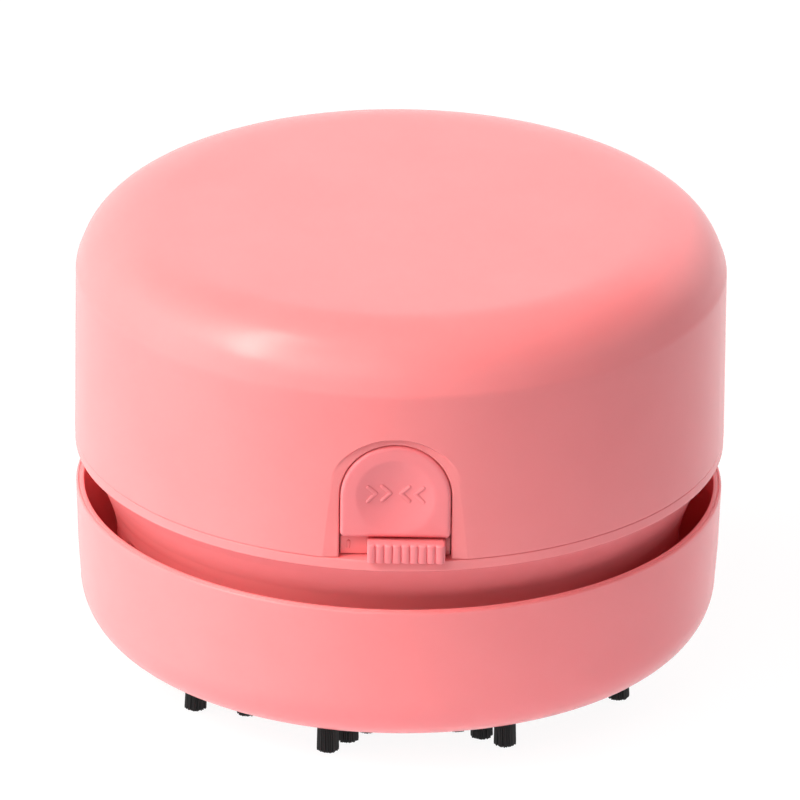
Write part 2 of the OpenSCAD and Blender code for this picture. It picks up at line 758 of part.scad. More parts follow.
module release_latch() {
    low = hook_z;
    bridge_z = button_z + 0.15;
    back = flange_front - flange_t;
    color(deep_pink) {
        translate([-latch_half, -back, bridge_z]) cube([2 * latch_half, back - latch_y + latch_t, 1.6]);
        translate([-latch_half, -latch_y, low]) cube([2 * latch_half, latch_t, bridge_z + 1.6 - low]);
        rotate([90, 0, 90]) translate([0, 0, -latch_half]) linear_extrude(2 * latch_half) polygon([
            [-latch_y + 0.1, low], [-latch_y, low], [-latch_tip, low + hook_h - 0.7],
            [-latch_tip, low + hook_h], [-latch_y + 0.1, low + hook_h]]);
    }
}

// ---- Slider ----

module slider_knob() {
    front = shell_r + knob_out - rib_d / 2;
    back = panel_y + slip;
    pitch = (knob_w - rib_d) / (rib_n - 1);
    color(deep_pink) translate([knob_x, 0, 0]) difference() {
        union() {
            translate([-knob_w / 2, -front, knob_z]) cube([knob_w, front - back, knob_h]);
            for (i = [0:rib_n - 1])
                translate([-knob_w / 2 + rib_d / 2 + i * pitch, -front, knob_z])
                    cylinder(h = knob_h, r = rib_d / 2, $fn = 32);
        }
        translate([-lever_size[0] / 2, -back - 1.2, lever_z - lever_size[1] / 2])
            cube([lever_size[0], 3, lever_size[1]]);
    }
}

module switch_lever() {
    front = panel_y + slip + 1.2;
    back = plate_back - 1.4;
    color(dark) translate([knob_x - lever_size[0] / 2, -front, lever_z - lever_size[1] / 2])
        cube([lever_size[0], front - back, lever_size[1]]);
}

// ---- Suction ----

module motor_shaft() {
    color(steel) translate([0, 0, impeller_z]) cylinder(h = deck_z + shaft_in - impeller_z, r = shaft_r);
}

module impeller() {
    blade_h = impeller_h - back_t;
    tip = impeller_r - 0.4;
    color(white) difference() {
        union() {
            translate([0, 0, impeller_top - back_t]) cylinder(h = back_t, r = impeller_r);
            translate([0, 0, impeller_z]) cylinder(h = impeller_h, r = hub_r);
            // Each blade is an arc that starts at the hub and trails at its tip
            translate([0, 0, impeller_z]) linear_extrude(blade_h + eps) intersection() {
                difference() { circle(tip); circle(hub_r + 3.5); }
                for (i = [0:blade_n - 1]) rotate(360 * i / blade_n) translate([0, blade_curve])
                    intersection() {
                        difference() { circle(blade_curve); circle(blade_curve - blade_t); }
                        translate([0, -2 * blade_curve]) square(2 * blade_curve);
                    }
            }
        }
        translate([0, 0, impeller_z - 1]) cylinder(h = impeller_h + 2, r = shaft_r);
    }
}

module filter_frame() {
    inner = filter_r - frame_wall;
    lug_z = filter_z + filter_h - slip - 1.7 + slip;
    color(white) {
        translate([0, 0, filter_z]) difference() {
            cylinder(h = filter_h, r = filter_r);
            translate([0, 0, -1]) cylinder(h = filter_h + 2, r = inner);
        }
        translate([0, 0, filter_z]) {
            for (i = [0:5]) rotate(60 * i) translate([6, -0.6, 0]) cube([inner - 5.5, 1.2, grid_t]);
            difference() {
                cylinder(h = grid_t, r = 7.2);
                translate([0, 0, -1]) cylinder(h = grid_t + 2, r = 6);
            }
        }
        for (a = bosses) rotate(a) rotate_extrude(angle = 14, start = -7) polygon([
            [filter_r - 0.5, lug_z], [lug_r, lug_z],
            [lug_r, lug_z + lug_t], [filter_r - 0.5, lug_z + lug_t]]);
    }
}

module filter_pad() {
    color("lightgray") translate([0, 0, filter_z + grid_t + 0.1])
        cylinder(h = pad_t, r = filter_r - frame_wall - 0.2);
}

outer_bowl();
dust_cup();
bristle_tufts();
main_housing();
control_frame();
fan_cover();
seal_ring();
battery_trays();
battery_left();
battery_right();
contact_springs();
contact_plates();
slide_switch();
motor_can();
motor_end_cap();
motor_terminals();
motor_screws();
pan_screws();
button_spring();
top_cover();
push_button();
release_latch();
slider_knob();
switch_lever();
motor_shaft();
impeller();
filter_frame();
filter_pad();
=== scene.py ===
# Desktop mini vacuum cleaner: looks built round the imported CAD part.
# Lengths are written in millimetres and become metres when a mesh is made.
import math

import bmesh
import bpy
import numpy as np
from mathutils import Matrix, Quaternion, Vector


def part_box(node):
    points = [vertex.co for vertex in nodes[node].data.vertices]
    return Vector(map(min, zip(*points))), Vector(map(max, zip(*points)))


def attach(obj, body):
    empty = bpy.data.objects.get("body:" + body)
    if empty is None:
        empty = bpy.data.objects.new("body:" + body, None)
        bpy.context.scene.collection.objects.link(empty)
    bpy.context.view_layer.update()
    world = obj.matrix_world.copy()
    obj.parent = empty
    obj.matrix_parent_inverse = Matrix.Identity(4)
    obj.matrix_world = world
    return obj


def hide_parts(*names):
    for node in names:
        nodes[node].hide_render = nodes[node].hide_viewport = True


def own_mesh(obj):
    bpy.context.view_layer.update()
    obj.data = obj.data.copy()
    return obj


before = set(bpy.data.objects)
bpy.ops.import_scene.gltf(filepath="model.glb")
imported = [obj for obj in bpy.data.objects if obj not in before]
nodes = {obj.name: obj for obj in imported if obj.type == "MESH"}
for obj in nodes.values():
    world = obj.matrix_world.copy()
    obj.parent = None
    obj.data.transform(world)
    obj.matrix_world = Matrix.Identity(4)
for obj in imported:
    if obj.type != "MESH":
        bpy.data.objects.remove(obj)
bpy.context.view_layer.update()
print("frame loaded:", len(nodes), "nodes")


# Lowest and highest corner of a CAD node, in millimetres
def extent(node):
    low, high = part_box(node)
    return np.array(low) * 1000, np.array(high) * 1000


# The photo's frame is 800 by 800 pixels, and its lens is long, so the view is nearly parallel
camera = {
    "pitch": 24.03,  # degrees above the desk
    "azimuth": 0.5,  # degrees towards the object's right
    "roll": 0.7,  # degrees, the object's right side hangs lower
    "distance": 2700,
    "frameWidth": 105.93,  # what the whole frame shows at the axis
    "aim": (0.04, 0.0, 36.78),
}


# The way from the object towards a place seen at these angles, 0 being the front
def towards(azimuth, elevation):
    az, el = math.radians(azimuth), math.radians(elevation)
    return Vector((math.sin(az) * math.cos(el), -math.cos(az) * math.cos(el), math.sin(el)))


def makeCamera(c):
    data = bpy.data.cameras.new("camera")
    data.sensor_width = 36
    data.lens = data.sensor_width * c["distance"] / c["frameWidth"]
    data.clip_start, data.clip_end = 0.1, 20
    eye = bpy.data.objects.new("camera", data)
    bpy.context.scene.collection.objects.link(eye)
    back = towards(c["azimuth"], c["pitch"])
    eye.location = (Vector(c["aim"]) + back * c["distance"]) * 0.001
    eye.rotation_mode = "QUATERNION"
    turn = Quaternion((0, 0, 1), math.radians(c["roll"]))
    eye.rotation_quaternion = (-back).to_track_quat("-Z", "Y") @ turn
    bpy.context.scene.camera = eye


makeCamera(camera)
bpy.context.scene.view_settings.view_transform = "Standard"

studio = {
    "sky": (0.06, 0.06, 0.066),  # even light on the object
    "mirrored": 1.0,  # what a reflection sees
    "ceiling": 0.2,  # and what it sees high up, where the room is darker
    "ceilingFrom": (0.5, 0.72),  # sine of the elevation where it begins and ends to darken
    "lamps": {
        "strip": {"azimuth": -73, "elevation": 54, "distance": 700, "size": (60, 640), "power": 1.95,
                  "tint": (1.0, 0.99, 0.9), "mirrored": True, "roll": 33},
        "window": {"azimuth": -68, "elevation": 45, "distance": 900, "size": (600, 400), "power": 6.25,
                   "tint": (1.0, 0.985, 0.89), "mirrored": False},
        "left": {"azimuth": -82, "elevation": 10, "distance": 900, "size": (600, 300), "power": 3.0,
                 "tint": (1.0, 0.985, 0.89), "mirrored": False},
        "back": {"azimuth": 155, "elevation": 15, "distance": 900, "size": (1000, 500), "power": 7.4,
                 "tint": (1.0, 1.0, 1.0), "mirrored": False},
        "right": {"azimuth": 84, "elevation": 12, "distance": 900, "size": (500, 500), "power": 1.3,
                  "tint": (0.97, 0.98, 1.0), "mirrored": False},
        "front": {"azimuth": -20, "elevation": 42, "distance": 900, "size": (500, 500), "power": 3.5,
                  "tint": (1.0, 0.98, 0.93), "mirrored": False},
    },
    "floorSize": 3000,
    "floorGlow": 0.93,
    "floorShade": 0.12,  # how much of a shadow the camera sees on it
    # painted pool of light: the floor's colour to diffuse rays is lighter near the object and darker far off
    "floorPoolNear": 0.9,  # near the object
    "floorPoolFar": 0.3,
    "floorTint": (0.99, 0.98, 1.06),
    "floorPoolReach": (70, 200),  # where it begins and ends to darken
}


# A node with its sockets set: a value is set on the socket and another node's output is linked to it
def addNode(tree, kind, settings=None, **sockets):
    node = tree.nodes.new(kind)
    for key, value in (settings or {}).items():
        setattr(node, key, value)
    for key, value in sockets.items():
        spot = node.inputs[int(key[1:])] if key[0] == "n" and key[1:].isdigit() else node.inputs[key]
        if isinstance(value, bpy.types.NodeSocket):
            tree.links.new(value, spot)
        else:
            spot.default_value = value
    return node


# 1 where the camera, a reflection or a see-through ray looks, and 0 for plain light
def seenDirectly(tree):
    ray = addNode(tree, "ShaderNodeLightPath").outputs
    both = addNode(tree, "ShaderNodeMath", {"operation": "MAXIMUM"},
                   n0=ray["Is Camera Ray"], n1=ray["Is Glossy Ray"])
    return addNode(tree, "ShaderNodeMath", {"operation": "MAXIMUM"},
                   n0=both.outputs[0], n1=ray["Is Transmission Ray"]).outputs[0]


# White for the camera, a white room with a darker ceiling for reflections, and a dimmer sky
def makeWorld(c):
    world = bpy.data.worlds.new("studio")
    world.use_nodes = True
    tree = world.node_tree
    tree.nodes.clear()
    ray = addNode(tree, "ShaderNodeLightPath").outputs
    place = addNode(tree, "ShaderNodeTexCoord").outputs["Generated"]
    split = addNode(tree, "ShaderNodeSeparateXYZ", n0=place)
    level = addNode(tree, "ShaderNodeMapRange", {"interpolation_type": "SMOOTHSTEP"},
                    n0=split.outputs["Z"], n1=c["ceilingFrom"][0], n2=c["ceilingFrom"][1],
                    n3=c["mirrored"], n4=c["ceiling"])
    dim = addNode(tree, "ShaderNodeBackground", Color=(*c["sky"], 1), Strength=1)
    mirrored = addNode(tree, "ShaderNodeBackground", Color=(1, 1, 1, 1), Strength=level.outputs[0])
    white = addNode(tree, "ShaderNodeBackground", Color=(1, 1, 1, 1), Strength=1)
    plain = addNode(tree, "ShaderNodeMath", {"operation": "MAXIMUM"},
                    n0=ray["Is Camera Ray"], n1=ray["Is Transmission Ray"])
    first = addNode(tree, "ShaderNodeMixShader", n0=ray["Is Glossy Ray"], n1=dim.outputs[0],
                    n2=mirrored.outputs[0])
    last = addNode(tree, "ShaderNodeMixShader", n0=plain.outputs[0], n1=first.outputs[0], n2=white.outputs[0])
    addNode(tree, "ShaderNodeOutputWorld", n0=last.outputs[0])
    bpy.context.scene.world = world


def areaLight(name, c, aimZ=30):
    data = bpy.data.lights.new(name, "AREA")
    data.shape = "RECTANGLE"
    data.size, data.size_y = c["size"][0] * 0.001, c["size"][1] * 0.001
    data.energy = c["power"]
    data.color = c["tint"]
    lamp = bpy.data.objects.new(name, data)
    bpy.context.scene.collection.objects.link(lamp)
    away = towards(c["azimuth"], c["elevation"])
    lamp.location = (away * c["distance"] + Vector((0, 0, aimZ))) * 0.001
    lamp.rotation_mode = "QUATERNION"
    turn = Quaternion((0, 0, 1), math.radians(c.get("roll", 0)))
    lamp.rotation_quaternion = (-away).to_track_quat("-Z", "Y") @ turn
    lamp.visible_glossy = c["mirrored"]


# A pale floor: nearly white to the camera, with a faint shadow, and clear from below. To diffuse rays it
# shows a painted pool of light, grey near the object and darker further off
def makeFloor(c):
    half = c["floorSize"] * 0.0005
    mesh = bpy.data.meshes.new("floor")
    corners = [(-half, -half, 0), (half, -half, 0), (half, half, 0), (-half, half, 0)]
    mesh.from_pydata(corners, [], [(0, 1, 2, 3)])
    floor = bpy.data.objects.new("floor", mesh)
    bpy.context.scene.collection.objects.link(floor)
    mat = bpy.data.materials.new("studioFloor")
    mat.use_nodes = True
    tree = mat.node_tree
    tree.nodes.clear()
    place = addNode(tree, "ShaderNodeTexCoord").outputs["Object"]
    far = addNode(tree, "ShaderNodeVectorMath", {"operation": "LENGTH"}, n0=place)
    reach = c["floorPoolReach"]
    # painted pool of light for diffuse rays: lighter near the object, darker further away
    paintedPool = addNode(tree, "ShaderNodeMapRange", {"interpolation_type": "SMOOTHSTEP"}, n0=far.outputs["Value"],
                   n1=reach[0] * 0.001, n2=reach[1] * 0.001, n3=c["floorPoolNear"], n4=c["floorPoolFar"])
    tinted = addNode(tree, "ShaderNodeVectorMath", {"operation": "SCALE"}, n0=c["floorTint"],
                     Scale=paintedPool.outputs[0])
    plain = addNode(tree, "ShaderNodeBsdfDiffuse", Color=tinted.outputs[0])
    faint = addNode(tree, "ShaderNodeBsdfDiffuse", Color=(*[c["floorShade"]] * 3, 1))
    glow = addNode(tree, "ShaderNodeEmission", Strength=c["floorGlow"])
    both = addNode(tree, "ShaderNodeAddShader", n0=glow.outputs[0], n1=faint.outputs[0])
    mix = addNode(tree, "ShaderNodeMixShader", n0=seenDirectly(tree), n1=plain.outputs[0], n2=both.outputs[0])
    under = addNode(tree, "ShaderNodeNewGeometry").outputs["Backfacing"]
    clear = addNode(tree, "ShaderNodeBsdfTransparent")
    last = addNode(tree, "ShaderNodeMixShader", n0=under, n1=mix.outputs[0], n2=clear.outputs[0])
    addNode(tree, "ShaderNodeOutputMaterial", n0=last.outputs[0])
    mesh.materials.append(mat)


makeWorld(studio)
makeFloor(studio)
for name, lamp in studio["lamps"].items():
    areaLight(name, lamp)
print("camera, light and floor made")


# An sRGB colour of 0 to 255 as the linear colour that a shader takes
def linear(r, g, b):
    c = np.array([r, g, b]) / 255
    c = np.where(c <= 0.04045, c / 12.92, ((c + 0.055) / 1.055) ** 2.4)
    return (*[float(v) for v in c], 1.0)


# A finish whose colour drifts over soft patches between pale and deep, and whose roughness and surface
# carry a fine grain. rough is the lowest and highest roughness, patches and grains are waves per metre,
# and grain is the strength of the bumps, which are depth metres high
def makeFinish(name, pale, deep, rough, patches=60, grains=2600, grain=0.03, depth=0.0002,
               stretch=(1, 1, 1), sleeve=None, **shine):
    mat = bpy.data.materials.new(name)
    mat.use_nodes = True
    tree = mat.node_tree
    shader = tree.nodes["Principled BSDF"]
    place = addNode(tree, "ShaderNodeTexCoord").outputs["Object"]
    spot = addNode(tree, "ShaderNodeMapping", Vector=place, Scale=stretch).outputs[0]
    patch = addNode(tree, "ShaderNodeTexNoise", Vector=spot, Scale=patches, Detail=3)
    ramp = addNode(tree, "ShaderNodeValToRGB", Fac=patch.outputs["Fac"])
    for stop, at, colour in zip(ramp.color_ramp.elements, (0.35, 0.65), (deep, pale)):
        stop.position, stop.color = at, colour
    fine = addNode(tree, "ShaderNodeTexNoise", Vector=spot, Scale=grains, Detail=2)
    spread = addNode(tree, "ShaderNodeMapRange", n0=fine.outputs["Fac"], n3=rough[0], n4=rough[1])
    bump = addNode(tree, "ShaderNodeBump", Height=fine.outputs["Fac"], Strength=grain, Distance=depth)
    colour = ramp.outputs["Color"]
    if sleeve:  # a printed sleeve between two places along Y, with bare steel beyond them
        y = addNode(tree, "ShaderNodeSeparateXYZ", n0=place).outputs["Y"]
        off = addNode(tree, "ShaderNodeMath", {"operation": "SUBTRACT"}, n0=y, n1=sleeve["middle"] * 0.001)
        away = addNode(tree, "ShaderNodeMath", {"operation": "ABSOLUTE"}, n0=off.outputs[0])
        bare = addNode(tree, "ShaderNodeMath", {"operation": "GREATER_THAN"}, n0=away.outputs[0],
                       n1=sleeve["half"] * 0.001).outputs[0]
        both = addNode(tree, "ShaderNodeMix", {"data_type": "RGBA"}, Factor=bare)
        tree.links.new(colour, both.inputs[6])
        both.inputs[7].default_value = sleeve["steel"]
        colour = both.outputs[2]
        tree.links.new(bare, shader.inputs["Metallic"])
    driven = {"Base Color": colour, "Roughness": spread.outputs[0], "Normal": bump.outputs[0]}
    for socket, value in driven.items():
        tree.links.new(value, shader.inputs[socket])
    for socket, value in shine.items():
        shader.inputs[socket.replace("_", " ")].default_value = value
    return mat


pinkGlow = {"Subsurface_Weight": 0.12, "Subsurface_Scale": 0.0012, "Subsurface_Radius": (1.0, 0.25, 0.3)}
pinkAbs = makeFinish("pinkAbs", linear(251, 139, 143), linear(249, 136, 140), (0.262, 0.272), grain=0.002,
                     **pinkGlow)
buttonAbs = makeFinish("buttonAbs", linear(247, 135, 142), linear(245, 132, 139), (0.32, 0.4), **pinkGlow)
bristleNylon = makeFinish("bristleNylon", linear(17, 17, 18), linear(10, 10, 11), (0.6, 0.75), patches=900,
                          stretch=(1, 1, 0.1), grain=0.1)
whitePlastic = makeFinish("whitePlastic", linear(238, 237, 232), linear(230, 229, 224), (0.35, 0.5))
blackPlastic = makeFinish("blackPlastic", linear(38, 38, 40), linear(30, 30, 32), (0.35, 0.5), grain=0.06)
blackRubber = makeFinish("blackRubber", linear(40, 40, 41), linear(30, 30, 31), (0.75, 0.9), grain=0.12)
zincSteel = makeFinish("zincSteel", linear(206, 208, 212), linear(180, 183, 188), (0.22, 0.4), patches=300,
                       grains=1500, stretch=(1, 1, 0.15), grain=0.05, Metallic=1.0)
brass = makeFinish("brass", linear(214, 178, 104), linear(196, 158, 86), (0.2, 0.35), patches=400,
                   Metallic=1.0)
filterCloth = makeFinish("filterCloth", linear(228, 227, 222), linear(200, 199, 194), (0.85, 0.97),
                         patches=900, grains=3800, grain=0.5, Sheen_Weight=0.3)

cell = {"steelEnd": 1.6, "steel": linear(200, 202, 205)}  # bare steel at each end of a cell's sleeve


def cellFinish(node, c):
    low, high = extent(node)
    reach = {"middle": (low[1] + high[1]) / 2, "half": (high[1] - low[1]) / 2 - c["steelEnd"],
             "steel": c["steel"]}
    return makeFinish(node + "Jacket", linear(66, 70, 78), linear(52, 55, 62), (0.2, 0.3), patches=150,
                      sleeve=reach, Coat_Weight=0.5)


dressed = [
    (pinkAbs, ["dust_cup", "main_housing", "control_frame"]),
    (buttonAbs, ["release_latch"]),
    (whitePlastic, ["fan_cover", "motor_end_cap", "impeller", "filter_frame"]),
    (blackPlastic, ["battery_trays", "switch_lever"]),
    (blackRubber, ["seal_ring"]),
    (zincSteel, ["contact_springs", "contact_plates", "slide_switch", "motor_can", "motor_screws",
                 "pan_screws", "motor_shaft"]),
    (brass, ["motor_terminals"]),
    (filterCloth, ["filter_pad"]),
    (cellFinish("battery_left", cell), ["battery_left"]),
    (cellFinish("battery_right", cell), ["battery_right"]),
]
for finish, names in dressed:
    for name in names:
        for spot in nodes[name].material_slots:
            spot.material = finish
print("materials made and CAD nodes dressed")


# Points on a circle's arc, from angle start to end in degrees, as an array of n + 1 pairs
def arc(cx, cy, r, start, end, n):
    a = np.radians(np.linspace(start, end, n + 1))
    return np.column_stack([cx + r * np.cos(a), cy + r * np.sin(a)])


# Points and arcs joined into one open line of pairs
def path(*parts):
    return np.vstack([np.atleast_2d(np.array(p, float)) for p in parts])


# Each (r, z) of the profile turned to every angle, in degrees from the front towards +X: x = r sin
# a, y = -r cos a
def turned(profile, angles):
    a = np.radians(angles)[None, :]
    r, z = profile[:, :1], profile[:, 1:]
    return np.stack([r * np.sin(a), -r * np.cos(a), z + 0 * a], axis=2)


# The quads of a grid whose vertices are numbered row by row
def gridFaces(rows, cols, start=0):
    i = np.arange(rows - 1)[:, None] * cols + np.arange(cols - 1)[None, :] + start
    return np.stack([i, i + 1, i + cols + 1, i + cols], axis=2).reshape(-1, 4)


# Grids of points in millimetres, welded where they meet, with their normals turned outwards. flats
# are closed rings of points that get one flat face each
def makePiece(name, grids, material, body, replaces=(), flats=(), extra=None, weld=0.001,
              smooth=50):
    points, quads, count = [], [], 0
    for g in grids:
        rows, cols = g.shape[:2]
        points.append(g.reshape(-1, 3))
        quads.append(gridFaces(rows, cols, count))
        count += rows * cols
    rings = []
    for ring in flats:
        points.append(ring)
        rings.append(list(range(count, count + len(ring))))
        count += len(ring)
    faces = [*np.vstack(quads).tolist(), *rings]
    if extra:
        faces += [[count + i for i in face] for face in extra[1]]
        points.append(extra[0])
    mesh = bpy.data.meshes.new(name)
    mesh.from_pydata(np.vstack(points) * 0.001, [], faces)
    bm = bmesh.new()
    bm.from_mesh(mesh)
    bmesh.ops.remove_doubles(bm, verts=bm.verts, dist=weld * 0.001)
    bmesh.ops.dissolve_degenerate(bm, edges=bm.edges, dist=1e-8)
    bmesh.ops.recalc_face_normals(bm, faces=bm.faces)
    bm.to_mesh(mesh)
    bm.free()
    mesh.polygons.foreach_set("use_smooth", np.ones(len(mesh.polygons), bool))
    mesh.materials.append(material)
    mesh.set_sharp_from_angle(angle=math.radians(smooth))
    piece = bpy.data.objects.new(name, mesh)
    bpy.context.scene.collection.objects.link(piece)
    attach(piece, body)
    if replaces:
        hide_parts(*replaces)
    unpaired = sum(1 for e in edgeUse(mesh) if e != 2)
    print(name, len(mesh.vertices), "vertices, open edges:", unpaired)
    return piece


# How many faces each edge has
def edgeUse(mesh):
    use = np.zeros(len(mesh.edges), int)
    loops = np.zeros(len(mesh.loops), int)
    mesh.loops.foreach_get("edge_index", loops)
    np.add.at(use, loops, 1)
    return use


low, high = extent("top_cover")
cover = {
    "radius": high[0],
    "foot": low[2] - 0.15,  # height of its lower edge, just above the band it stands on
    "top": high[2],
    "wall": 2.0,
    "crown": 0.8,
    "shoulderWidth": 13.0,
    "shoulderHeight": 10.2,
    "squareness": 2.7,
    "steep": 69,  # lean where the shoulder's curve starts above the wall's soft crease
    "gentle": 11,  # and where it ends before the top's soft edge
    "wallArc": 2.5,
    "topArc": 18,
    "footRound": 0.12,
    "footRows": 8,  # samples of the foot and its rounding
    "wallRows": 33,  # and of the wall up to frontTop
    "frontHalf": 40,  # degrees of the patch that holds the opening
    "frontTop": 52.0,  # height where that patch ends
    "frontColumns": 73,
    "restColumns": 141,
    "archCentre": 41.75,
    "openingRadius": 7.33,
    "openingRound": 0.28,
    "flatDepth": 0.87,
    "flatTilt": 1.3,
    "flatArcRadius": 9.2,
    "flatTop": 49.9,
    "flatBlend": 24,  # the higher, the sharper the flat's legs meet its arc
    "stepDraft": 0.3,  # how far the step leans out from the flat
    "crowding": 1.6,  # how far the patch's rings crowd towards the step
}


# Where on the superellipse the surface leans over by so many degrees from lying flat
def leanAt(c, wide, tall, lean):
    n = c["squareness"]
    return math.atan((math.tan(math.radians(lean)) * wide / tall) ** (n / (2 * (n - 1))))


# From the wall's top to the middle: a small arc, a tangent, the superellipse r = rc + w sin^(2/n),
# z = zc + h cos^(2/n), another tangent, a wide arc and the level top, all standing on a slight bulge
def domeLine(c, inset, n=44):
    wide, tall = c["shoulderWidth"] - inset, c["shoulderHeight"] - inset
    rc, zc = c["radius"] - c["shoulderWidth"], c["top"] - c["crown"] - c["shoulderHeight"]
    steep, gentle, low, high = c["steep"], c["gentle"], c["wallArc"], c["topArc"]
    a = np.linspace(leanAt(c, wide, tall, steep), leanAt(c, wide, tall, gentle), n + 1)
    band = np.column_stack([rc + wide * np.sin(a) ** (2 / c["squareness"]),
                            zc + tall * np.cos(a) ** (2 / c["squareness"])])
    tilt, slope = math.radians(90 - steep), math.radians(gentle)
    end = rc + wide - low * (1 - math.cos(tilt))
    foot = band[0, 1] - (end - band[0, 0]) / math.tan(tilt) - low * math.sin(tilt)
    drop = high * (1 - math.cos(slope))
    start = band[-1, 0] - (zc + tall - drop - band[-1, 1]) / math.tan(slope) - high * math.sin(slope)
    line = path(arc(rc + wide - low, foot, low, 0, 90 - steep, 10), band,
                arc(start, zc + tall - high, high, 90 - gentle, 90, 8),
                np.column_stack([np.linspace(start, 0, 16)[1:], np.full(15, zc + tall)]))
    return np.column_stack([line[:, 0], line[:, 1] + c["crown"] * (1 - (line[:, 0] / c["radius"]) ** 2)])


# The outer and the inner line of the cover, each from the middle of its foot up to the crown
def coverProfiles(c):
    e, foot = c["footRound"], c["foot"]
    ro, ri = c["radius"], c["radius"] - c["wall"]
    rises = np.linspace(foot + e, c["frontTop"], c["wallRows"] + 1)[1:]
    mid = (ro + ri) / 2
    outer = path([mid, foot], [ro - e - 0.1, foot], arc(ro - e, foot + e, e, 270, 360, c["footRows"] - 2),
                 np.column_stack([0 * rises + ro, rises]), domeLine(c, 0))
    inner = path([mid, foot], [ri + e + 0.1, foot], arc(ri + e, foot + e, e, 270, 180, c["footRows"] - 2),
                 np.column_stack([0 * rises + ri, rises]), domeLine(c, c["wall"]))
    return outer, inner


# How far in front of the axis the tilted flat lies at height z
def flatPlane(c, z):
    return c["radius"] - c["flatDepth"] + (z - c["archCentre"]) * math.tan(math.radians(c["flatTilt"]))


# Sideways place and height at share f (-1 to 1) of half a round-topped outline, from its left foot
# over the top to its right foot, by arc length
def archPoint(f, radius, centre, foot):
    leg = centre - foot
    half = leg + radius * math.pi / 2
    walk = (1 - np.abs(f)) * half
    a = np.clip((walk - leg) / radius, 0, math.pi / 2)
    x = radius * np.cos(a)
    z = np.where(walk < leg, foot + walk, centre + radius * np.sin(a))
    return np.sign(f) * x, z


